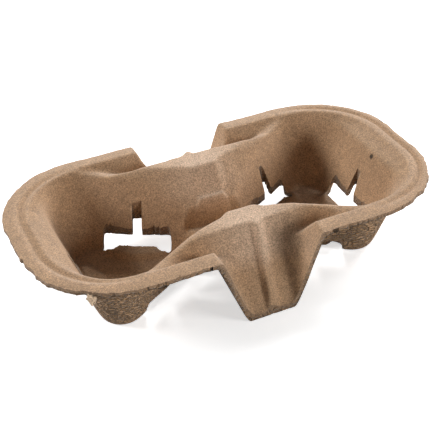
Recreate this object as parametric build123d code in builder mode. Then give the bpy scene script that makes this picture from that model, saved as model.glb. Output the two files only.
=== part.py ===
from build123d import *
from math import cos, radians, sin, tan
import os

# Two-cup carrier in moulded paper pulp: one sheet of nearly even thickness,
# pressed over a tool and trimmed round the edge. Millimetres, Z up. The
# origin is under the middle, on the plane that the feet stand on.

# Sheet and overall form
sheet = 2.4                # thickness of the level parts of the sheet
corner_radius = 45         # of the trimmed edge, in plan
rim_height = 40            # top of the rim and of the two bridges
rim_band = 9.0             # width of the outer band of the rim
rim_fall = 1.0             # the band falls by this much towards its edge

# Cup pockets: three lobes about each centre, each standing on its own foot
pocket_spacing = 100       # between the two pocket centres
lobe_reach = 26            # from a pocket's centre to the middle of a lobe
lobe_radius = 7.5          # inside a lobe, measured on the standing plane
wall_draft = 20.4          # lean of the pocket walls, degrees from upright
lip_drop = 3.5             # below the rim, where the wall turns out to it
lip_bevel = 1.8            # breaks the edge at that turn
foot_bevel = 2.2           # and the one between the floor and the wall
end_flare = 11.9           # from the turn to the rim's band, at the tray's ends
side_flare = 3.9           # and at its long sides
inner_flare = 2.5          # and beside the bridges, up to the mouth
mouth_land = 0.9           # level strip between the mouth and the rim's band

# T-shaped slots, one in each flat wall; the two flaps bend to grip a cup
sill_reach = 21.0          # from the pocket's centre to the edge of the floor at a slot
slot_width = 5.0           # of the upright stroke
slot_top = 25.5            # where the upright stroke ends in the wall
slot_open = 13.5           # the stroke goes right through below this height
bar_length = 35            # of the cross stroke, along the wall
flap_bottom = 12.0         # lower edge of the two flaps
bar_open = 8.0             # the bar goes right through below this height
tongue_width = 19          # of the floor's tongue at its tip
tongue_root = 25           # and at its root
tongue_depth = 3.0         # how far the tongue stands out between the bar's ends

# Passage between the two pockets, with a short stub of wall on each side that
# ends in a ledge; above the ledges lie the bridges' leaning flanks
saddle_height = 12.0       # floor of the passage
passage_foot = 9.5         # half width at that floor
passage_top = 9.8          # half width at the ledges
ledge_height = 27.0        # top of the two stubs
stub_top = 7.2             # half thickness of a stub, at its ledge
stub_foot = 7.9            # and at the flank's floor
flank_floor = 24.0         # height of the flank's floor
flank_foot = 12.8          # half width between the flanks, at that floor
flank_mouth = 25.1         # and at the rim
waist_foot = 1.0           # how far a flank stands out over its stub, at the floor
waist_mouth = 3.8          # and at the rim
waist_reach = 6.0          # X where it starts to go back
flank_bend = 13.0          # X where it has, and turns out towards the pocket
flank_turn = 17.5          # by how many degrees it turns out there
flank_end = 40.0           # X where it ends, inside the pocket

# Legs: one on each long side, a sloping panel in a trough, with a rib
panel_top = 34.0           # Y of the panel's upper edge, at the rim's height
foot_edge = 2.0            # height of the trimmed edge under the panel
foot_half = 11.4           # half width of the panel's foot
leg_half = 24.8            # half width of the trough, at the trimmed edge
trough_rounding = 8.5      # between the panel and the trough's sides
rib_half = 3.2             # half width of the rib, at the top of the panel
rib_height = 2.6           # how far the rib stands out of the panel there
rib_foot_half = 3.6        # half width at the foot
rib_foot_height = 1.6      # how far it stands out there

# Gutters, which run from each trough along the bridge and fade into the rim.
# Between gutter and pocket a ridge is left, which sinks as the two draw near.
gutter_root = 14.0         # X where a gutter starts, inside the trough
gutter_depth = 13.0        # below the rim, at the root
gutter_floor = 1.5         # width of the gutter's bottom
bend_x = 33.0              # X where the ridge leaves the bridge
bend_depth = 9.0           # of the gutter, there
dip_x = 44.0               # X where the ridge is lowest
dip_y = 38.5               # Y of the ridge, there
dip_depth = 3.5            # of the ridge below the rim, there
dip_gutter = 1.0           # of the gutter below the ridge, there
fade_x = 57.0              # X where the gutter has run out into the rim
fade_width = 4.0           # of the gutter, there
fade_depth = 1.0           # of the gutter, there

# Worked out from the sizes above. The lower skin of the sheet is the upper
# one moved down by the sheet's thickness and spread sideways, so that the
# leaning walls come out as thick as the level parts.
draft_run = tan(radians(wall_draft))
spread = sheet * (1 - sin(radians(wall_draft))) / cos(radians(wall_draft))
wall_top = rim_height - lip_drop
turn_reach = lobe_radius + wall_top * draft_run
lobe_x = lobe_reach * cos(radians(60))
lobe_y = lobe_reach * sin(radians(60))
crest_x = pocket_spacing / 2 + lobe_x + turn_reach + end_flare
crest_y = lobe_y + turn_reach + side_flare
crest_radius = corner_radius - rim_band
half_length = crest_x + rim_band
half_width = crest_y + rim_band
panel_run = (half_width - panel_top) / (rim_height - foot_edge)
over = 6                   # how far cutters run past what they cut


def outline_at(height, grow):
    """The tray's plan outline at one height, grown or drawn in evenly."""
    with BuildSketch(Plane.XY.offset(height)) as outline:
        RectangleRounded(2 * (half_length + grow), 2 * (half_width + grow), corner_radius + grow)
    return outline.sketch.face()


def pocket_at(height, radius, side):
    """A pocket's outline at one height: a triangle with large round corners."""
    with BuildSketch(Plane.XY.offset(height)) as outline:
        with Locations((side * pocket_spacing / 2, 0)):
            RegularPolygon(lobe_reach, 3, rotation=0 if side < 0 else 180)
        offset(amount=radius)
    return outline.sketch.face()


def mouth_at(height, grow, side):
    """Outline of a pocket's mouth, whose outer corners follow the rim."""
    corner_x = side * (crest_x - crest_radius)
    corner_y = crest_y - crest_radius
    with BuildSketch(Plane.XY.offset(height)) as outline:
        with Locations((corner_x, -corner_y), (corner_x, corner_y)):
            Circle(crest_radius - mouth_land + grow)
        with Locations((side * (pocket_spacing / 2 - lobe_reach), 0)):
            Circle(turn_reach + inner_flare + grow)
        make_hull()
    return outline.sketch.face()


def pocket_form(side, drop, grow):
    """What one pocket takes out: leaning walls, then a mouth that flares to the rim."""
    floor = sheet - drop
    turn = wall_top - drop
    floor_radius = lobe_radius + sheet * draft_run + grow
    mouth = mouth_at(rim_height - drop, grow, side)
    with BuildPart() as form:
        loft([pocket_at(floor, floor_radius, side), pocket_at(turn, turn_reach + grow, side)], ruled=True)
        loft([pocket_at(turn, turn_reach + grow, side), mouth], ruled=True)
        extrude(mouth, amount=over, dir=(0, 0, 1))
        chamfer(form.edges().group_by(Axis.Z)[0], foot_bevel)
        chamfer(form.edges().filter_by_position(Axis.Z, turn - 0.1, turn + 0.1), lip_bevel)
    return form.part


def wall_reach(height):
    """Distance from a pocket's centre to the inside of a flat wall."""
    return lobe_x + lobe_radius + height * draft_run


def flank_at(height, half, waist, grow):
    """Plan of the cut between the flanks: waisted in the middle, wider towards the pockets."""
    end_y = half + (flank_end - flank_bend) * tan(radians(flank_turn))
    with BuildSketch(Plane.XY.offset(height)) as outline:
        with BuildLine():
            Polyline(
                (0, half - waist + grow),
                (waist_reach, half - waist + grow),
                (flank_bend, half + grow),
                (flank_end, end_y + grow),
                (flank_end, 0),
                (0, 0),
                close=True,
            )
        make_face()
        mirror(about=Plane.XZ)
        mirror(about=Plane.YZ)
    return outline.sketch.face()


def passage_form(drop, grow):
    """What the passage takes out between the two stubs."""
    floor = saddle_height - drop
    top = ledge_height - drop + over
    lean = (passage_top - passage_foot) / (ledge_height - saddle_height)
    foot = passage_foot + grow
    head = passage_top + over * lean + grow
    with BuildPart() as form:
        with BuildSketch(Plane.YZ):
            with BuildLine():
                Polyline((-foot, floor), (foot, floor), (head, top), (-head, top), close=True)
            make_face()
        extrude(amount=pocket_spacing / 2 - lobe_reach, both=True)
    return form.part


def flank_form(drop, grow):
    """What is taken out above the stubs, from one pocket's wall to the other's."""
    floor = flank_at(flank_floor - drop, flank_foot, waist_foot, grow)
    top = flank_at(rim_height - drop, flank_mouth, waist_mouth, grow)
    with BuildPart() as form:
        loft([floor, top], ruled=True)
        extrude(top, amount=over, dir=(0, 0, 1))
    return form.part


def stub_form(drop, grow):
    """The wall between the pockets up to the ledges, before the passage cuts it in two."""
    floor = flank_floor - drop - over
    top = ledge_height - drop
    lean = (stub_foot - stub_top) / (ledge_height - flank_floor)
    foot = stub_foot + over * lean - grow
    head = stub_top - grow
    with BuildPart() as form:
        with BuildSketch(Plane.XZ):
            with BuildLine():
                Polyline((-foot, floor), (foot, floor), (head, top), (-head, top), close=True)
            make_face()
        extrude(amount=panel_top - sheet, both=True)
    return form.part


def trough_form(drop, grow):
    """The trough of one leg: upright walls that lean out, cut off by the sloping panel."""
    side_run = (leg_half - foot_half) / (rim_height - rim_fall - foot_edge)
    low = -over - drop
    high = rim_height + over - drop
    foot = foot_half + grow - (over + foot_edge) * side_run
    head = foot + (high - low) * side_run
    panel_low = half_width + (over + foot_edge) * panel_run - grow
    panel_high = panel_top - over * panel_run - grow
    with BuildPart() as form:
        with BuildSketch(Plane.XZ):
            with BuildLine():
                Polyline((-foot, low), (foot, low), (head, high), (-head, high), close=True)
            make_face()
        extrude(amount=half_width + over)
        with BuildSketch(Plane.YZ):
            with BuildLine():
                far = -half_width - 2 * over
                Polyline((-panel_low, low), (-panel_high, high), (far, high), (far, low), close=True)
            make_face()
        extrude(amount=half_width, both=True, mode=Mode.INTERSECT)
        panel = form.faces().sort_by(Axis.Y)[-1]
        fillet(panel.edges().filter_by(Axis.X, reverse=True), trough_rounding)
    return form.part


def rib_form(drop, grow):
    """The rib that runs down the middle of one leg's panel: a cone that lies in it."""
    out = Vector(0, -1, panel_run).normalized()
    ends = []
    for half, height, y, z in (
        (rib_half, rib_height, panel_top, rim_height),
        (rib_foot_half, rib_foot_height, half_width, foot_edge),
    ):
        radius = (half**2 + height**2) / (2 * height)
        ends.append((radius, Vector(0, grow - y, z - drop) - out * (radius - height)))
    (head_radius, head), (foot_radius, foot) = ends
    axis = foot - head
    widen = (foot_radius - head_radius) / axis.length
    start = head - axis.normalized() * over
    length = axis.length + 2 * over
    with BuildPart() as form:
        with Locations(Plane(start, x_dir=(1, 0, 0), z_dir=axis)):
            Cone(
                head_radius - over * widen - grow,
                foot_radius + over * widen - grow,
                length,
                align=(Align.CENTER, Align.CENTER, Align.MIN),
            )
        with BuildSketch(Plane.XY.offset(rim_height - drop)):
            Rectangle(2 * half_length, 2 * half_length)
        extrude(amount=-2 * rim_height, mode=Mode.INTERSECT)
    return form.part


def gutter_form(drop, grow):
    """The gutter from one trough along the bridge, on one side."""
    top = rim_height - drop
    stations = [
        (gutter_root, panel_top, 0, gutter_depth * panel_run, gutter_depth),
        (bend_x, panel_top, 0, bend_depth * panel_run, bend_depth),
        (dip_x, dip_y, dip_depth, (crest_y - dip_y) / 2, dip_depth + dip_gutter),
        (fade_x, crest_y - fade_width, fade_depth, fade_width / 2, fade_depth),
    ]
    faces = []
    for x, ridge_y, ridge_depth, lead, depth in stations:
        with BuildSketch(Plane.YZ.offset(x)) as section:
            with BuildLine():
                Polyline(
                    (grow - ridge_y + ridge_depth + over, top + over),
                    (grow - ridge_y, top - ridge_depth),
                    (grow - ridge_y - lead, top - depth),
                    (-grow - ridge_y - lead - gutter_floor, top - depth),
                    (-grow - crest_y, top),
                    (-crest_y - grow, top + over),
                    close=True,
                )
            make_face()
        faces.append(section.sketch.face())
    with BuildPart() as form:
        loft(faces, ruled=True)
    return form.part


def recess_form(grow):
    """The blind upper end of one slot: an upright back, where the wall leans over it."""
    back = wall_reach(slot_top) + grow
    with BuildPart() as form:
        with BuildSketch(Plane.XY.offset(slot_open)):
            with Locations(((sill_reach + back) / 2, 0)):
                Rectangle(back - sill_reach, slot_width + 2 * grow)
        extrude(amount=slot_top - slot_open)
    return form.part


def skin_form(drop, grow, margin):
    """Everything that lies under one skin of the sheet."""
    band = rim_band + margin
    with BuildPart() as form:
        extrude(outline_at(-margin, margin), amount=rim_height - drop + margin)
        top = form.faces().sort_by(Axis.Z)[-1]
        chamfer(top.edges(), band, rim_fall * band / rim_band, reference=top)
        for side in (-1, 1):
            add(pocket_form(side, drop, grow), mode=Mode.SUBTRACT)
        add(flank_form(drop, grow), mode=Mode.SUBTRACT)
        add(stub_form(drop, grow))
        add(passage_form(drop, grow), mode=Mode.SUBTRACT)
        gutter = gutter_form(drop, grow)
        trough = trough_form(drop, grow)
        rib = rib_form(drop, grow)
        recess = recess_form(grow)
        for turn in (0, 180):
            with Locations(Location((0, 0, 0), (0, 0, turn))):
                add(trough, mode=Mode.SUBTRACT)
                add(gutter, mode=Mode.SUBTRACT)
                add(gutter.mirror(Plane.YZ), mode=Mode.SUBTRACT)
                add(rib)
        for side in (-1, 1):
            with Locations(Location((side * pocket_spacing / 2, 0, 0), (0, 0, 90 - side * 90))):
                with PolarLocations(0, 3):
                    add(recess, mode=Mode.SUBTRACT)
    return form.part


def bar_form():
    """The cross stroke of one slot, built along X from a pocket's centre."""
    flap = wall_reach(flap_bottom)
    far = wall_reach(rim_height)
    half = bar_length / 2
    with BuildPart() as form:
        with BuildSketch(Plane.XY.offset(-over)):
            with BuildLine():
                Polyline(
                    (sill_reach, 0),
                    (sill_reach, tongue_width / 2),
                    (sill_reach - tongue_depth, tongue_root / 2),
                    (sill_reach - tongue_depth, half),
                    (far, half),
                    (far, 0),
                    close=True,
                )
            make_face()
            mirror(about=Plane.XZ)
        extrude(amount=flap_bottom + 2 * over)
        with BuildSketch(Plane.XZ):
            with BuildLine():
                Polyline(
                    (0, -over),
                    (far, -over),
                    (far, bar_open),
                    (flap, bar_open),
                    (flap, flap_bottom),
                    (sill_reach, flap_bottom),
                    (0, flap_bottom),
                    close=True,
                )
            make_face()
        extrude(amount=bar_length, both=True, mode=Mode.INTERSECT)
    return form.part


def stroke_form():
    """The upright stroke of one slot, where it goes right through the wall."""
    far = wall_reach(rim_height)
    with BuildPart() as form:
        with BuildSketch(Plane.XY.offset(bar_open)):
            with Locations(((sill_reach + far) / 2, 0)):
                Rectangle(far - sill_reach, slot_width)
        extrude(amount=slot_open - bar_open)
    return form.part


# The sheet is what lies between its two skins, trimmed to the outline
with BuildPart() as pulp_tray:
    add(skin_form(0, 0, 0))
    add(skin_form(sheet, spread, over), mode=Mode.SUBTRACT)
    extrude(outline_at(0, 0), amount=rim_height, dir=(0, 0, 1), mode=Mode.INTERSECT)
    slot = bar_form() + stroke_form()
    for side in (-1, 1):
        with Locations(Location((side * pocket_spacing / 2, 0, 0), (0, 0, 90 - side * 90))):
            with PolarLocations(0, 3):
                add(slot, mode=Mode.SUBTRACT)

os.makedirs("parts", exist_ok=True)
pulp_tray.part.label = "pulp_tray"
export_step(pulp_tray.part, "parts/pulp_tray.step")
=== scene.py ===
from math import cos, radians, sin, tan

import bpy
import numpy as np
from mathutils import Matrix, Vector


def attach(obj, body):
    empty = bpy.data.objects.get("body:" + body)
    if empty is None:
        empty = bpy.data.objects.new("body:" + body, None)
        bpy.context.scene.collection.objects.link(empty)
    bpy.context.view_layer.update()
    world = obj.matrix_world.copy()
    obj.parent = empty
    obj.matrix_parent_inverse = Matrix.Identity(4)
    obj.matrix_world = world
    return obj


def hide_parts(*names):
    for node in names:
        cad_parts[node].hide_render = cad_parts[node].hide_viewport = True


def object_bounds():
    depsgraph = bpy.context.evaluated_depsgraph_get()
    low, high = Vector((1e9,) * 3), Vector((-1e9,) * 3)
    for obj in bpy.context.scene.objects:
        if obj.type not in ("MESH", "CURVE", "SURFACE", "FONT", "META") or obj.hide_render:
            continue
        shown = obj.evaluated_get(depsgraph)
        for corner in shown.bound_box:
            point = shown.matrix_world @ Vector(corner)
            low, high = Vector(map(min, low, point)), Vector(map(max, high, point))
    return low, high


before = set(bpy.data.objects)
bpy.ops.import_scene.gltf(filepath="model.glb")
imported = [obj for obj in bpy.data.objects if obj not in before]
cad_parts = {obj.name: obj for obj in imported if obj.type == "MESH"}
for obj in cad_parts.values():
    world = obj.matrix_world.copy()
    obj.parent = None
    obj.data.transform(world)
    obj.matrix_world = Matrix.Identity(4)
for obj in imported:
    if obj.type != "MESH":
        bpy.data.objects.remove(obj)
cad_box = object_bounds()


# The carrier: one sheet of paper pulp, sucked on to a wire-mesh tool and dried
# there. Its upper side took the mesh's close felt; its under side, which was the
# free one, is rough and wrinkled. The edge and the slots were punched, and tore.
# Each form below gives the height of the sheet's skin over the plan, in millimetres.
# The upper skin has drop and grow 0; the lower one is dropped by the sheet's
# thickness, and its hollows grow sideways.
MM = 0.001
sheet = 2.4                  # thickness of the level parts
half_length, half_width, rim_top = [reach / MM for reach in cad_box[1]]
foot_low = cad_box[0][2] / MM
FAR = 1000.0                 # a height that is never reached


def hull_distance(x, y, centres, radii):
    """Signed distance to the convex hull of some circles, in plan. Over all
    directions it is the largest of the point's reach less the hull's reach."""
    distance = np.full(x.shape, -FAR)
    for turn in np.linspace(0, 2 * np.pi, 180, endpoint=False):
        nx, ny = cos(turn), sin(turn)
        reach = max(cx * nx + cy * ny + r for (cx, cy), r in zip(centres, radii))
        np.maximum(distance, x * nx + y * ny - reach, out=distance)
    return distance


def round_min(a, b, size):
    """The lower of two heights, with the crease between them rounded off over a band
    of that size: a quarter of the squared overlap of the band is taken away."""
    overlap = np.clip(size - np.abs(a - b), 0, None) / size
    return np.minimum(a, b) - size * overlap**2 / 4


def round_max(a, b, size):
    """The higher of two heights, with the valley between them filled in."""
    return -round_min(-a, -b, size)


def ease(share):
    """A share from 0 to 1 that starts and ends level: 3t^2 - 2t^3."""
    return share * share * (3 - 2 * share)


# The rim: a band that falls a little towards the trimmed edge. A groove is pressed
# along each of its ends, with a low bead inside it.
corner_radius = 45           # of the trimmed edge, in plan
rim_band, rim_fall = 9.0, 1.0
groove_in = 7.2              # from the trimmed edge to the groove, at the middle of the tray
groove_shift = 0.018         # nearer to the edge by this much for each millimetre of X
groove_half, groove_depth = 1.3, 1.5
bead_in = 3.6                # from the groove to the bead
bead_half, bead_height = 1.8, 0.8
fold_start, fold_full = 57, 80   # X where groove and bead begin, and where they are whole


def outline_distance(x, y):
    """Signed distance to the trimmed edge, which is a rectangle with round corners."""
    qx = np.abs(x) - half_length + corner_radius
    qy = np.abs(y) - half_width + corner_radius
    beyond = np.hypot(np.clip(qx, 0, None), np.clip(qy, 0, None))
    return beyond + np.minimum(np.maximum(qx, qy), 0) - corner_radius


def rim_form(x, y, drop):
    """The band falls by a line and a cubic of the share of its width."""
    share = np.clip(1 + outline_distance(x, y) / rim_band, 0, 1)
    return rim_top - drop - rim_fall * (0.4 * share + 0.6 * share**3)


def fold_form(x, y):
    """Height that bead and groove add: two bell curves across their line."""
    past_groove = outline_distance(x, y) + groove_in - groove_shift * x
    bead = bead_height * np.exp(-((past_groove + bead_in) / bead_half) ** 2)
    groove = groove_depth * np.exp(-(past_groove / groove_half) ** 2)
    return (bead - groove) * np.clip((np.abs(x) - fold_start) / (fold_full - fold_start), 0, 1)


# The two cup pockets: triangles of three lobes with leaning walls, which turn out at
# the top into a mouth that follows the rim. The floor rises to a sill at each slot.
pocket_x = 50                # of a pocket's centre
lobe_reach, lobe_radius = 26, 7.5
wall_lean = radians(20.4)    # from upright
wall_run = tan(wall_lean)
wall_top = 36.5              # where the wall turns out
mouth_x, mouth_y = half_length - corner_radius, half_width - corner_radius
mouth_radius = corner_radius - rim_band - 0.9
mouth_inner_radius = 23.57
mouth_lip = 0.6              # slope of the skin past the mouth's outline
foot_round, turn_round, lip_round = 3.0, 2.0, 0.8
sill_rise, sill_half, sill_fade = 2.0, 19, 4
ramp_start, ramp_length = 10.6, 4.0   # of the way up to the sill, from the pocket's centre
ramp_curve = 0.016           # it lies further out by this much of the squared distance aside


def wall_reach(height):
    """Distance from a pocket's centre to the inside of a flat wall."""
    return lobe_reach / 2 + lobe_radius + height * wall_run


def flats(x, y):
    """Each pocket's three flat walls: distance out from the pocket's centre, and
    distance along the wall, for every point."""
    px = np.abs(x) - pocket_x
    for turn in (0, 120, 240):
        c, s = cos(radians(turn)), sin(radians(turn))
        yield px * c + y * s, y * c - px * s


def pocket_form(x, y, drop, grow):
    """The walls rise in proportion to the distance from the triangle of the lobes'
    middles. Above their top, the height is shared out between wall and mouth."""
    px = np.abs(x) - pocket_x
    lobe_x, lobe_y = lobe_reach / 2, lobe_reach * sin(radians(60))
    middles = [(-lobe_reach, 0), (lobe_x, lobe_y), (lobe_x, -lobe_y)]
    past_foot = hull_distance(px, y, middles, [0, 0, 0]) - lobe_radius - grow
    wall = past_foot / wall_run - drop

    floor = np.full(x.shape, sheet - drop)
    for out, along in flats(x, y):
        up = np.clip((out - ramp_start - ramp_curve * along**2) / ramp_length, 0, 1)
        up = up * np.clip((sill_half - np.abs(along)) / sill_fade, 0, 1)
        floor = np.maximum(floor, sheet - drop + sill_rise * ease(up))

    corners = [(mouth_x - pocket_x, mouth_y), (mouth_x - pocket_x, -mouth_y), (-lobe_reach, 0)]
    radii = [mouth_radius + grow, mouth_radius + grow, mouth_inner_radius + grow]
    mouth = hull_distance(px, y, corners, radii)
    inside = np.clip(past_foot - wall_top * wall_run, 0, None)
    outside = np.clip(-mouth, 0, None)
    flare = wall_top - drop + (rim_top - wall_top) * inside / (inside + outside + 0.01)
    flare = flare + np.clip(mouth, 0, None) * mouth_lip
    return round_min(round_max(floor, wall, foot_round), flare, turn_round)


# Between the pockets: a passage cut through a wall, of which two stubs with level
# ledges are left, and above them the bridges' leaning flanks, drawn in at a waist.
flank_floor, flank_foot, flank_mouth = 24, 12.8, 25.1
waist_reach, waist_foot, waist_mouth = 6.0, 1.0, 3.8
flank_bend, flank_end = 13, 40
flank_turn = tan(radians(17.5))
flank_round = 1.5
ledge, ledge_round = 27.0, 0.7
stub_top, stub_foot, stub_reach = 7.2, 7.9, 31.6
stub_root = 6                # how far a stub runs down below the flank's floor
stub_corner, stub_width = 0.22, 5.0   # the cut-off corners of a stub's end
saddle, passage_foot, passage_top = 12.0, 9.5, 9.8


def flank_form(x, y, drop, grow):
    """The flanks rise in a straight line from a plan line near the middle, which is
    drawn in at the waist and turns out past the bend."""
    ax, ay = np.abs(x), np.abs(y)
    waist = ease(np.clip((flank_bend - ax) / (flank_bend - waist_reach), 0, 1))
    turned = np.clip(ax - flank_bend, 0, None) * flank_turn + grow
    foot_y = flank_foot - waist_foot * waist + turned
    edge_y = flank_mouth - waist_mouth * waist + turned
    lean = (edge_y - foot_y) / (rim_top - flank_floor)
    height = flank_floor - drop + np.clip((ay - foot_y) / lean, 0, None)
    return np.where(ax < flank_end, height, FAR)


def stub_form(x, y, drop, grow):
    """Level ledges, with sides that fall steeply towards the pockets."""
    lean = (stub_foot - stub_top) / (ledge - flank_floor)
    side = ledge - drop - (np.abs(x) - stub_top + grow) / lean
    height = np.minimum(ledge - drop, side)
    within = (np.abs(y) < stub_reach) & (height > flank_floor - drop - stub_root)
    return np.where(within, height, -FAR)


def passage_form(x, y, drop, grow):
    """A level floor between two walls that lean out a little."""
    ax = np.abs(x)
    corner = stub_corner * np.clip(stub_width - np.abs(ax - stub_top - stub_width), 0, None)
    past_foot = np.clip(np.abs(y) - passage_foot - corner - grow, 0, None)
    height = saddle - drop + past_foot * (ledge - saddle) / (passage_top - passage_foot)
    return np.where(ax < pocket_x - lobe_reach, height, FAR)


# The legs: one on each long side, a sloping panel in a trough, with a rib down it
# that is steep on one side and gentle on the other.
panel_top, foot_edge = 34, 2.0
panel_run = (half_width - panel_top) / (rim_top - foot_edge)
foot_half, leg_half = 11.4, 24.8
side_run = (leg_half - foot_half) / (rim_top - rim_fall - foot_edge)
trough_round, trough_fill = 9.0, 19.0   # the fill is added towards the panel's top
rib_steep, rib_gentle, rib_height = 2.2, 6.0, 2.9
rib_skew = 1.2               # the rib's crest lies aside by this at the top, and back at the foot
rib_end = 0.10               # share of the panel over which the rib runs out


def leg_form(x, y, drop, grow):
    """A panel that falls outwards meets two sides that rise outwards. The rib adds a
    smooth step up and down across its crest."""
    ay = np.abs(y)
    panel = rim_top - drop - (ay - panel_top + grow) / panel_run
    down = np.clip((ay - panel_top) / (half_width - panel_top), 0, 1)
    past_crest = np.sign(-y) * x - rib_skew * (1 - 2 * down)
    rib_half = np.where(past_crest < 0, rib_steep - grow, rib_gentle - grow)
    bulge = rib_height * (1 - ease(np.clip(np.abs(past_crest) / rib_half, 0, 1)))
    bulge = bulge * np.clip((1 - down) / rib_end, 0, 1) ** 0.5
    panel = panel + bulge * np.hypot(1, 1 / panel_run)
    side = foot_edge - drop + (np.abs(x) - foot_half - grow) / side_run
    return round_max(panel, side, trough_round + trough_fill * (1 - down))


# The gutters: from each trough along the bridge, fading into the rim. The ridge that
# is left between gutter and pocket sinks where the two draw near.
gutter_root, gutter_depth, gutter_floor = 14, 10.5, 1.5
bend_x, bend_depth = 33, 7.5
dip_x, dip_y, dip_depth, dip_gutter = 44, 38.5, 3.5, 1.0
fade_x, fade_width, fade_depth = 57, 4, 1.0
gutter_round = 2.5
crest_y = half_width - rim_band


def gutter_form(x, y, drop, grow):
    """The gutter's section at each X is drawn between four stations: an inner side
    from the ridge, a floor, and an outer side up to the rim's band."""
    ax, ay, top = np.abs(x), np.abs(y), rim_top - drop
    stations = [gutter_root, bend_x, dip_x, fade_x]
    ridge_y = np.interp(ax, stations, [panel_top, panel_top, dip_y, crest_y - fade_width])
    ridge_low = np.interp(ax, stations, [0, 0, dip_depth, fade_depth])
    depth = np.interp(ax, stations, [gutter_depth, bend_depth, dip_depth + dip_gutter, fade_depth])
    leads = [gutter_depth * panel_run, bend_depth * panel_run, (crest_y - dip_y) / 2, fade_width / 2]
    lead = np.interp(ax, stations, leads)
    past_ridge = ay - ridge_y + grow
    fall = np.where(past_ridge < 0, 1, (depth - ridge_low) / lead)
    inner = top - ridge_low - past_ridge * fall
    outer_run = np.maximum(crest_y - ridge_y - lead - gutter_floor, 0.5)
    outer = top - (crest_y + grow - ay) * depth / outer_run
    height = np.maximum(round_max(inner, outer, gutter_round), top - depth)
    near = (ay <= crest_y + grow) & (ax > gutter_root) & (ax < fade_x)
    return np.where(near, height, FAR)


def skin(x, y, drop, grow):
    """Height of one skin of the sheet: the lowest of the forms at every point, but for
    the stubs, which stand up in the flanks' hollow."""
    height = round_min(rim_form(x, y, drop), pocket_form(x, y, drop, grow), lip_round)
    height = round_min(height, flank_form(x, y, drop, grow), flank_round)
    height = round_max(height, stub_form(x, y, drop, grow), ledge_round)
    height = np.minimum(height, passage_form(x, y, drop, grow))
    height = np.minimum(height, leg_form(x, y, drop, grow))
    height = round_min(height, gutter_form(x, y, drop, grow), gutter_round)
    return np.minimum(height + fold_form(x, y), rim_top - drop)


# The slots: a T in each flat wall, whose cross stroke goes through under two flaps.
# They were punched, so no two are quite alike. Those in the right pocket have hardly
# opened at the top of their upright stroke.
stroke_half, stroke_top, stroke_open = 2.5, 25.5, 15.0
right_half = 1.5             # at the top of the right pocket's strokes; twice that at the flaps
bar_half, bar_round, bar_open = 17.5, 2.1, 8.2
flap_bottom, flap_rise = 11.6, 2.8   # the flaps' lower edge, and how much it rises to its ends
sill_reach = 20.6            # from the pocket's centre to the near edge of a slot
end_sill, left_end_sill = 19.5, 22.6   # the same at the tray's right and left end
tongue_tip, tongue_root, tongue_depth = 9.5, 12.5, 3.0
short_end = 4.0              # by this much the right pocket's back slot is shorter
slot_tear = 0.8              # of the slots' edges
trim_in, trim_tear = 0.7, 0.8   # the trim runs this far inside the outline, and tears by this
rag_in, rag_tear = 0.35, 0.45   # and by this much more at the front of the tray's ends,
rag_start, rag_full, rag_y = 60, 75, -12   # which lie past these
clean_run = 12               # the trim is clean at the leg's foot, and tears fully this far from it


def lattice_noise(x, y, z, size, seed):
    """Smooth noise between -1 and 1: random values on a cubic lattice of that size in
    millimetres, blended across each cube by the cubic 3t^2 - 2t^3."""
    values = np.random.default_rng(seed).uniform(-1, 1, (32, 32, 32))
    total = 0
    cell, part = [], []
    for axis in (x, y, z):
        whole = np.floor(axis / size)
        cell.append(whole.astype(int))
        part.append(ease(axis / size - whole))
    for corner in np.ndindex(2, 2, 2):
        weight = 1
        for k in range(3):
            weight = weight * (part[k] if corner[k] else 1 - part[k])
        index = tuple((cell[k] + corner[k]) % 32 for k in range(3))
        total = total + weight * values[index]
    return total


def slot_distance(x, y):
    """Signed distance into the nearest slot, in plan: negative inside it. The bar is a
    rectangle with round corners, and the stroke a strip that reaches up the wall."""
    nearest = np.full(x.shape, FAR)
    back = wall_reach(stroke_top)
    for turn, (out, along) in enumerate(flats(x, y)):
        aside = np.abs(along)
        flap = wall_reach(flap_bottom + flap_rise * aside / bar_half)
        step = np.clip((aside - tongue_tip) / (tongue_root - tongue_tip), 0, 1)
        near = sill_reach - tongue_depth * step
        if turn == 0:
            near = np.where(x > 0, end_sill, left_end_sill)
        half = bar_half - np.where((x > 0) & (turn == 1) & (along < 0), short_end, 0)
        across = np.abs(out - (near + flap) / 2) - (flap - near) / 2 + bar_round
        past = aside - half + bar_round
        corner = np.hypot(np.clip(across, 0, None), np.clip(past, 0, None))
        bar = corner + np.minimum(np.maximum(across, past), 0) - bar_round
        lower_down = np.clip((back - out) / (back - flap), 0, 1)
        half_stroke = np.where(x > 0, right_half * (1 + lower_down), stroke_half)
        stroke = np.maximum(np.maximum(flap - 1 - out, out - back), aside - half_stroke)
        nearest = np.minimum(nearest, np.minimum(bar, stroke))
    return nearest


def kept(x, y):
    """Signed distance outside what is left of the sheet, with the tear of the punched
    edges added: fine on the slots, coarser along the trimmed edge, and coarsest at the
    front of the tray's ends."""
    zero = np.zeros_like(x)
    fine = 0.20 * lattice_noise(x, y, zero, 1.8, 11) + 0.25 * lattice_noise(x, y, zero, 3.7, 12)
    coarse = 0.45 * lattice_noise(x, y, zero, 2.6, 13) + 0.55 * lattice_noise(x, y, zero, 8.0, 14)
    rag = np.clip((np.abs(x) - rag_start) / (rag_full - rag_start), 0, 1) * (y < rag_y)
    past_foot = np.clip((np.abs(x) - foot_half) / clean_run, 0.1, 1)
    tear = (trim_tear + rag_tear * rag) * coarse * past_foot
    trim = outline_distance(x, y) + trim_in + rag_in * rag + tear
    return np.maximum(trim, -slot_distance(x, y) + slot_tear * fine)


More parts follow.
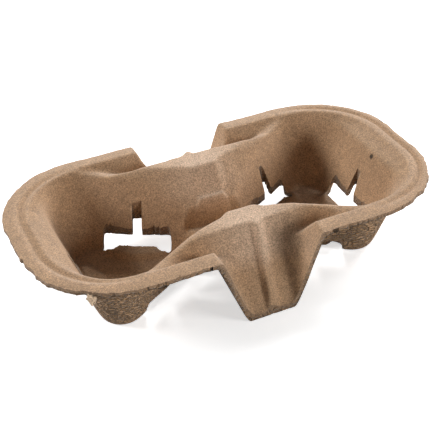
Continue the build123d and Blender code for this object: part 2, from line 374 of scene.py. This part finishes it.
# The two skins on one grid. The lower one, which was the free side, is softer. It is
# let down behind the blind top of each slot, and cut off level above the open bar.
spacing = 0.67
columns = np.arange(-np.ceil(half_length / spacing), np.ceil(half_length / spacing) + 1) * spacing
rows = np.arange(-np.ceil(half_width / spacing), np.ceil(half_width / spacing) + 1) * spacing
grid_x, grid_y = np.meshgrid(columns, rows)
lean_spread = sheet * (1 - sin(wall_lean)) / cos(wall_lean)
upper_soft, lower_soft = 0.65, 1.1
least_sheet = 1.2            # the sheet is nowhere thinner than this
behind_reach = 2.2           # from the back of a blind top, inwards and outwards
flap_in, flap_out = 1, 3     # from the flaps' lower edge


def blur(height, size):
    """Rounds the edges of a height field: each row, then each column, is averaged
    with its neighbours under a bell curve of that size."""
    steps = int(np.ceil(2.5 * size / spacing))
    weights = np.exp(-0.5 * (np.arange(-steps, steps + 1) * spacing / size) ** 2)
    weights /= weights.sum()
    for axis in (0, 1):
        margin = [(steps, steps) if k == axis else (0, 0) for k in (0, 1)]
        padded = np.pad(height, margin, mode="edge")
        count = height.shape[axis]
        height = sum(
            w * np.take(padded, np.arange(k, k + count), axis=axis) for k, w in enumerate(weights)
        )
    return height


def sample(field, x, y):
    """Value of the grid's field at any points, blended from the four nearest nodes."""
    step = columns[1] - columns[0]
    u = np.clip((x - columns[0]) / step, 0, len(columns) - 1.001)
    v = np.clip((y - rows[0]) / step, 0, len(rows) - 1.001)
    i, j = u.astype(int), v.astype(int)
    u, v = u - i, v - j
    low = field[j, i] * (1 - u) + field[j, i + 1] * u
    high = field[j + 1, i] * (1 - u) + field[j + 1, i + 1] * u
    return low * (1 - v) + high * v


upper = blur(skin(grid_x, grid_y, 0, 0), upper_soft)
lower = blur(skin(grid_x, grid_y, sheet, lean_spread), lower_soft)
back, flap_foot = wall_reach(stroke_top), wall_reach(flap_bottom)
for out, along in flats(grid_x, grid_y):
    aside = np.abs(along)
    behind = (aside < stroke_half + lean_spread) & (np.abs(out - back) < behind_reach)
    lower = np.where(behind, np.minimum(lower, stroke_open), lower)
    under_flap = (aside < bar_half) & (aside > right_half)
    under_flap &= (out > flap_foot - flap_in) & (out < flap_foot + flap_out)
    lower = np.where(under_flap, np.maximum(lower, bar_open), lower)
lower = np.maximum(lower, foot_low)

# Nodes near an edge are pulled on to it, so that the cut runs true and not in steps
pull = 0.62 * spacing        # from no further than this
gap = kept(grid_x, grid_y)
slope_y, slope_x = np.gradient(gap, spacing)
steep = np.clip(slope_x**2 + slope_y**2, 0.3, None)
on_edge = np.abs(gap) < pull
x = np.where(on_edge, grid_x - gap * slope_x / steep, grid_x)
y = np.where(on_edge, grid_y - gap * slope_y / steep, grid_y)
gap = np.where(on_edge, 0, gap)

node = np.arange(x.size).reshape(x.shape)
a, b, c, d = node[:-1, :-1], node[:-1, 1:], node[1:, 1:], node[1:, :-1]
triangles = np.stack([np.stack([a, b, c], -1), np.stack([a, c, d], -1)], 2).reshape(-1, 3)
middle_x, middle_y = x.ravel()[triangles].mean(1), y.ravel()[triangles].mean(1)
gaps = gap.ravel()[triangles]
is_kept = np.where((gaps == 0).all(1), kept(middle_x, middle_y) < 0, gaps.mean(1) < 0)
used, triangles = np.unique(triangles[is_kept], return_inverse=True)
triangles = triangles.reshape(-1, 3)

# The sheet dried a little uneven: slow waves, and faint lumps on the upper side
wave_height, wave_size = 0.12, 18
lump_height, lump_size = 0.05, 4.5
x, y = x.ravel()[used], y.ravel()[used]
z_up = sample(upper, x, y)
z_low = sample(lower, x, y)
z_up = z_up - wave_height + wave_height * lattice_noise(x, y, z_up, wave_size, 21)
z_up = z_up + lump_height * lattice_noise(x, y, z_up, lump_size, 22)
z_low = np.minimum(z_low, z_up - least_sheet)

# Walls of torn edge join the two skins wherever a triangle's side has no neighbour
count = len(used)
edges = np.concatenate([triangles[:, [0, 1]], triangles[:, [1, 2]], triangles[:, [2, 0]]])
keys = edges[:, 0] * count + edges[:, 1]
back_keys = edges[:, 1] * count + edges[:, 0]
rim_edges = edges[~np.isin(keys, back_keys)]
start, end = rim_edges[:, 0], rim_edges[:, 1]
sheet_faces = np.concatenate([
    triangles,
    triangles[:, ::-1] + count,
    np.stack([end, start, start + count], 1),
    np.stack([end, start + count, end + count], 1),
])
sheet_points = np.concatenate([np.stack([x, y, z_up], 1), np.stack([x, y, z_low], 1)])

# A scrap of bare fibre, torn loose at the rim's front left and hanging from it
scrap_at = (-83.4, -47.6, 34.9)
scrap_half = (2.7, 0.7, 3.3)     # across, through and down
scrap_right, scrap_front = 0.84, 0.54   # its width runs this way in plan
scrap_crumple, crumple_size = 0.6, 1.1


def scrap_shell(rounds, rings):
    """A ball pressed flat, wider at its top, that faces the front left: its surface is
    the sphere of two angles, crumpled by noise. Gives its points and its faces."""
    round_angles = np.arange(rounds) / rounds * 2 * np.pi
    ring_angles = (np.arange(rings) + 0.5) / rings * np.pi
    u, v = np.meshgrid(round_angles, ring_angles)
    u, v = u.ravel(), v.ravel()
    across = np.append(np.cos(u) * np.sin(v), [0, 0])
    thick = np.append(np.sin(u) * np.sin(v), [0, 0])
    down = np.append(np.cos(v), [1, -1])
    crumple = lattice_noise(across * 3, thick * 3, down * 3, crumple_size, 31)
    across = across * (0.8 + 0.45 * down) * (1 + 0.3 * crumple)
    down = down * (1 + 0.25 * crumple)
    depth = scrap_half[1] * thick + scrap_crumple * crumple
    points = np.stack([
        scrap_at[0] + scrap_right * scrap_half[0] * across - scrap_front * depth,
        scrap_at[1] - scrap_front * scrap_half[0] * across - scrap_right * depth,
        scrap_at[2] + scrap_half[2] * down,
    ], 1)
    ring = np.arange(rounds * rings).reshape(rings, rounds)
    beside = np.roll(ring, -1, axis=1)
    top_pole, low_pole = rounds * rings, rounds * rings + 1
    p, q, r, s = ring[:-1], beside[:-1], beside[1:], ring[1:]
    return points, np.concatenate([
        np.stack([p, s, r], -1).reshape(-1, 3), np.stack([p, r, q], -1).reshape(-1, 3),
        np.stack([np.full(rounds, top_pole), ring[0], beside[0]], 1),
        np.stack([np.full(rounds, low_pole), beside[-1], ring[-1]], 1),
    ])


scrap_points, scrap_faces = scrap_shell(18, 9)
faces = np.concatenate([sheet_faces, scrap_faces + len(sheet_points)])
points = np.concatenate([sheet_points, scrap_points]) * MM

mesh = bpy.data.meshes.new("pulp_sheet")
mesh.vertices.add(len(points))
mesh.vertices.foreach_set("co", points.ravel())
mesh.loops.add(faces.size)
mesh.loops.foreach_set("vertex_index", faces.ravel())
mesh.polygons.add(len(faces))
mesh.polygons.foreach_set("loop_start", np.arange(0, faces.size, 3))
mesh.polygons.foreach_set("use_smooth", np.ones(len(faces), bool))
mesh.update(calc_edges=True)
mesh.validate()

# The edge between a skin and a torn wall is sharp
ends = np.zeros(len(mesh.edges) * 2, int)
mesh.edges.foreach_get("vertices", ends)
ends = np.sort(ends.reshape(-1, 2), 1)
cut = np.sort(np.concatenate([rim_edges, rim_edges + count]), 1)
is_sharp = np.isin(ends[:, 0] * len(points) + ends[:, 1], cut[:, 0] * len(points) + cut[:, 1])
mesh.attributes.new("sharp_edge", "BOOLEAN", "EDGE").data.foreach_set("value", is_sharp)

# How dark a cut face is painted: wholly at the slots, as painted shade inside them, less along
# the trim, and less at the blind backs of the left pocket's strokes, where the wall was only pressed
# in
cut_wall_shade = np.where(outline_distance(x, y)[start] < -3, 1, 0.7)
for out, along in flats(x[start], y[start]):
    at_back = (np.abs(out - back) < 0.8) & (np.abs(along) < stroke_half - 0.4)
    cut_wall_shade = np.where(at_back & (x[start] < 0), 0.4, cut_wall_shade)
cut_face_shades = np.zeros(len(faces))
cut_face_shades[2 * len(triangles):len(sheet_faces)] = np.tile(cut_wall_shade, 2)
mesh.attributes.new("cut_face_shade", "FLOAT", "FACE").data.foreach_set("value", cut_face_shades)

# The stock's shade: under side 0, upper side 0.2, up to 0.6 on the high parts of the bridges and
# the middle, a painted highlight that stands for light from above, scrap 1. The under side alone is
# wrinkled, and the scrap a little.
top_light_x, top_light_low, top_light_full = 34, 20, 28
painted_top_light = ease(np.clip(1 - np.abs(x) / top_light_x, 0, 1))
painted_top_light = painted_top_light * np.clip((z_up - top_light_low) / (top_light_full - top_light_low), 0, 1)
shades = np.concatenate([0.2 + 0.4 * painted_top_light, np.zeros(count), np.ones(len(scrap_points))])
mesh.attributes.new("stock_and_top_light", "FLOAT", "POINT").data.foreach_set("value", shades)
wrinkled = np.repeat([0.0, 1.0, 0.4], [count, count, len(scrap_points)])
mesh.attributes.new("under_side", "FLOAT", "POINT").data.foreach_set("value", wrinkled)
pulp_sheet = bpy.data.objects.new("pulp_sheet", mesh)
bpy.context.scene.collection.objects.link(pulp_sheet)
print("pulp_sheet triangles", len(faces), "open edges", len(rim_edges))


def linear(hex_colour):
    """An sRGB hex colour as linear red, green and blue, with alpha 1."""
    parts = [int(hex_colour[k:k + 2], 16) / 255 for k in (1, 3, 5)]
    return [p / 12.92 if p <= 0.04045 else ((p + 0.055) / 1.055) ** 2.4 for p in parts] + [1]


def add(tree, kind, settings=None, feeds=(), **links):
    """Adds a node. Settings are its own properties or the values of its inputs. Feeds
    fill its inputs in turn, and links fill them by name, from another node's output."""
    made = tree.nodes.new(kind)
    for name, value in (settings or {}).items():
        if name in made.inputs:
            made.inputs[name].default_value = value
        else:
            setattr(made, name, value)
    for socket, source in zip(made.inputs, feeds):
        if isinstance(source, bpy.types.NodeSocket):
            tree.links.new(source, socket)
        else:
            socket.default_value = source
    for name, source in links.items():
        tree.links.new(source, made.inputs[name.replace("_", " ")])
    return made


# Moulded paper pulp, felted and dried on the mesh: wholly matt, with a faint bloom
# of loose fibre ends that lifts its tone where it turns away from the eye
pulp = bpy.data.materials.new("moulded_paper_pulp")
pulp.use_nodes = True
pulp_tree = pulp.node_tree
pulp_tree.nodes.clear()
place = add(pulp_tree, "ShaderNodeTexCoord").outputs["Object"]
free_side = add(pulp_tree, "ShaderNodeAttribute", {"attribute_name": "under_side"}).outputs["Fac"]

# Its grain gives a fine speckle, in clouds. The scales are counts per metre: flecks of
# 0.7 mm, coarser than the fibres themselves, which are too fine to show, clouds of
# thicker stock of 4 mm, and stains of 22 mm.
fleck = add(pulp_tree, "ShaderNodeTexNoise",
            {"Scale": 1500, "Detail": 3, "Roughness": 0.75}, Vector=place).outputs["Fac"]
cloud = add(pulp_tree, "ShaderNodeTexNoise",
            {"Scale": 260, "Detail": 4, "Roughness": 0.6}, Vector=place).outputs["Fac"]
stain = add(pulp_tree, "ShaderNodeTexNoise",
            {"Scale": 45, "Detail": 2, "Roughness": 0.5}, Vector=place).outputs["Fac"]
cut_shade = add(pulp_tree, "ShaderNodeAttribute", {"attribute_name": "cut_face_shade"}).outputs["Fac"]

# A single dark spot, 3 mm across, is painted on the right pocket's end wall
speck_at, speck_core, speck_rim = (0.0837, -0.0048, 0.0347), 0.0009, 0.0017
from_speck = add(pulp_tree, "ShaderNodeVectorMath", {"operation": "DISTANCE"},
                 (place, speck_at)).outputs["Value"]

# Each of these runs from one level to another and multiplies the tone
tone = 1.0
for source, low, high, low_tone, high_tone in (
    (fleck, 0.30, 0.70, 0.42, 1.56),
    (cloud, 0.25, 0.75, 0.86, 1.12),
    (stain, 0.25, 0.75, 0.94, 1.05),
    # painted shade: the cut faces darken, most in the slots
    (cut_shade, 0.0, 1.0, 1.0, 0.48),
    (from_speck, speck_core, speck_rim, 0.15, 1.0),
):
    factor = add(pulp_tree, "ShaderNodeMapRange", {
        "From Min": low, "From Max": high, "To Min": low_tone, "To Max": high_tone}, Value=source)
    tone = add(pulp_tree, "ShaderNodeMath", {"operation": "MULTIPLY"},
               (tone, factor.outputs["Result"])).outputs[0]

ramp_share = add(pulp_tree, "ShaderNodeAttribute", {"attribute_name": "stock_and_top_light"}).outputs["Fac"]
stock_and_top_light = add(pulp_tree, "ShaderNodeValToRGB", Fac=ramp_share)
for stop in (0.2, 0.6):
    stock_and_top_light.color_ramp.elements.new(stop)
# The third colour, at 0.6, is painted top light on the bridges' high parts
for step, shade in zip(stock_and_top_light.color_ramp.elements, ("#BA9064", "#B28F6D", "#C8A98D", "#F4D3B0")):
    step.color = linear(shade)
colour = add(pulp_tree, "ShaderNodeVectorMath", {"operation": "SCALE"},
             (stock_and_top_light.outputs["Color"],), Scale=tone)

# Relief: the felt of the fibres everywhere, which breaks up the light, and on the free
# side wrinkles of about 3 mm, shorter upwards, whose lines wander
felt = add(pulp_tree, "ShaderNodeBump", {"Strength": 0.55, "Distance": 0.00035}, Height=fleck)
lumps = add(pulp_tree, "ShaderNodeBump", {"Strength": 0.4, "Distance": 0.0008},
            Height=cloud, Normal=felt.outputs["Normal"])
flatter = add(pulp_tree, "ShaderNodeMapping", {"Scale": (1, 1, 1.9)}, Vector=place)
wander = add(pulp_tree, "ShaderNodeTexNoise", {"Scale": 190, "Detail": 2}, Vector=place)
wandered = add(pulp_tree, "ShaderNodeVectorMath", {"operation": "MULTIPLY_ADD"},
               (wander.outputs["Color"], (0.005, 0.005, 0.005), flatter.outputs["Vector"]))
wrinkle = add(pulp_tree, "ShaderNodeTexVoronoi", {"feature": "DISTANCE_TO_EDGE", "Scale": 330},
              Vector=wandered.outputs["Vector"])
crease = add(pulp_tree, "ShaderNodeMapRange", {"From Min": 0.0, "From Max": 0.2},
             Value=wrinkle.outputs["Distance"])
creases = add(pulp_tree, "ShaderNodeBump", {"Distance": 0.0026}, Height=crease.outputs["Result"],
              Normal=lumps.outputs["Normal"], Strength=free_side)
pulp_shader = add(pulp_tree, "ShaderNodeBsdfPrincipled", {
    "Roughness": 0.95, "Specular IOR Level": 0.15, "Sheen Weight": 0.28, "Sheen Roughness": 0.6},
    Base_Color=colour.outputs[0], Normal=creases.outputs["Normal"])
add(pulp_tree, "ShaderNodeOutputMaterial", Surface=pulp_shader.outputs["BSDF"])
mesh.materials.append(pulp)

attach(pulp_sheet, "root")
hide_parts("pulp_tray")


# The floor: white background paper, lit until it is all but white. To the camera it
# glows a little as well, so that only a faint shadow is left on it.
floor_half = 4               # metres
floor_corners = [(-floor_half, -floor_half, 0), (floor_half, -floor_half, 0),
                 (floor_half, floor_half, 0), (-floor_half, floor_half, 0)]
floor_mesh = bpy.data.meshes.new("studio_floor")
floor_mesh.from_pydata(floor_corners, [], [(0, 1, 2, 3)])
floor = bpy.data.objects.new("studio_floor", floor_mesh)
bpy.context.scene.collection.objects.link(floor)
paper = bpy.data.materials.new("white_background_paper")
paper.use_nodes = True
paper_tree = paper.node_tree
paper_tree.nodes.clear()
paper_glow = 0.62            # to the camera alone
to_camera = add(paper_tree, "ShaderNodeLightPath").outputs["Is Camera Ray"]
glow = add(paper_tree, "ShaderNodeMath", {"operation": "MULTIPLY"}, (to_camera, paper_glow))
paper_shader = add(paper_tree, "ShaderNodeBsdfPrincipled", {
    "Roughness": 0.9, "Base Color": linear("#F6F6F6"), "Emission Color": (1, 1, 1, 1)},
    Emission_Strength=glow.outputs[0])
add(paper_tree, "ShaderNodeOutputMaterial", Surface=paper_shader.outputs["BSDF"])
floor_mesh.materials.append(paper)


# The light: four large soft boxes, all fairly low, on the left, the right, the far
# right and behind. They leave the pockets' hollows dark. A white room, seen as white
# by the camera, adds a weak even fill.
world = bpy.data.worlds.new("studio")
world.use_nodes = True
world_tree = world.node_tree
backdrop = world_tree.nodes["Background"]
backdrop.inputs["Color"].default_value = (1, 1, 1, 1)
seen_by_camera = add(world_tree, "ShaderNodeLightPath").outputs["Is Camera Ray"]
room_fill = 0.05
room_light = add(world_tree, "ShaderNodeMapRange", {"To Min": room_fill, "To Max": 1.0},
                 Value=seen_by_camera)
world_tree.links.new(room_light.outputs["Result"], backdrop.inputs["Strength"])
bpy.context.scene.world = world

aim = Vector((0, 0, 0.02))
lamp_distance, lamp_size = 1.5, 0.5
for name, round_from_x, height, energy in (
    ("soft_box_left", 158, 30, 16.3),
    ("soft_box_right", -47, 16, 12.6),
    ("soft_box_far_right", 20, 20, 13.0),
    ("soft_box_behind", 66, 37, 12.8),
):
    lamp_data = bpy.data.lights.new(name, "AREA")
    lamp_data.shape = "SQUARE"
    lamp_data.size = lamp_size
    lamp_data.energy = energy
    lamp = bpy.data.objects.new(name, lamp_data)
    sideways, upwards = radians(round_from_x), radians(height)
    towards = Vector((cos(sideways) * cos(upwards), sin(sideways) * cos(upwards), sin(upwards)))
    lamp.location = aim + towards * lamp_distance
    lamp.rotation_euler = (-towards).to_track_quat("-Z", "Y").to_euler()
    bpy.context.scene.collection.objects.link(lamp)


# The camera stands in front of the tray, to the left, and looks down on it
turn, tilt, roll = radians(24.07), radians(35.16), radians(-1.96)
view_distance = 0.5021
looked_at = Vector((0, 0, 0.022))
picture_width, centre_column, focal_pixels = 430, 221.35, 1006.3
sensor_width = 36

forward = Vector((sin(turn) * cos(tilt), cos(turn) * cos(tilt), -sin(tilt)))
level = Vector((cos(turn), -sin(turn), 0))
upright = level.cross(forward)
right = cos(roll) * level + sin(roll) * upright
up = -sin(roll) * level + cos(roll) * upright
camera_data = bpy.data.cameras.new("camera")
camera_data.sensor_width = sensor_width
camera_data.lens = sensor_width * focal_pixels / picture_width
camera_data.shift_x = (picture_width / 2 - centre_column) / picture_width
camera = bpy.data.objects.new("camera", camera_data)
stand = looked_at - forward * view_distance
facing = Matrix((right, up, -forward)).transposed().to_4x4()
camera.matrix_world = Matrix.Translation(stand) @ facing
bpy.context.scene.collection.objects.link(camera)
bpy.context.scene.camera = camera
bpy.context.scene.view_settings.view_transform = "Standard"
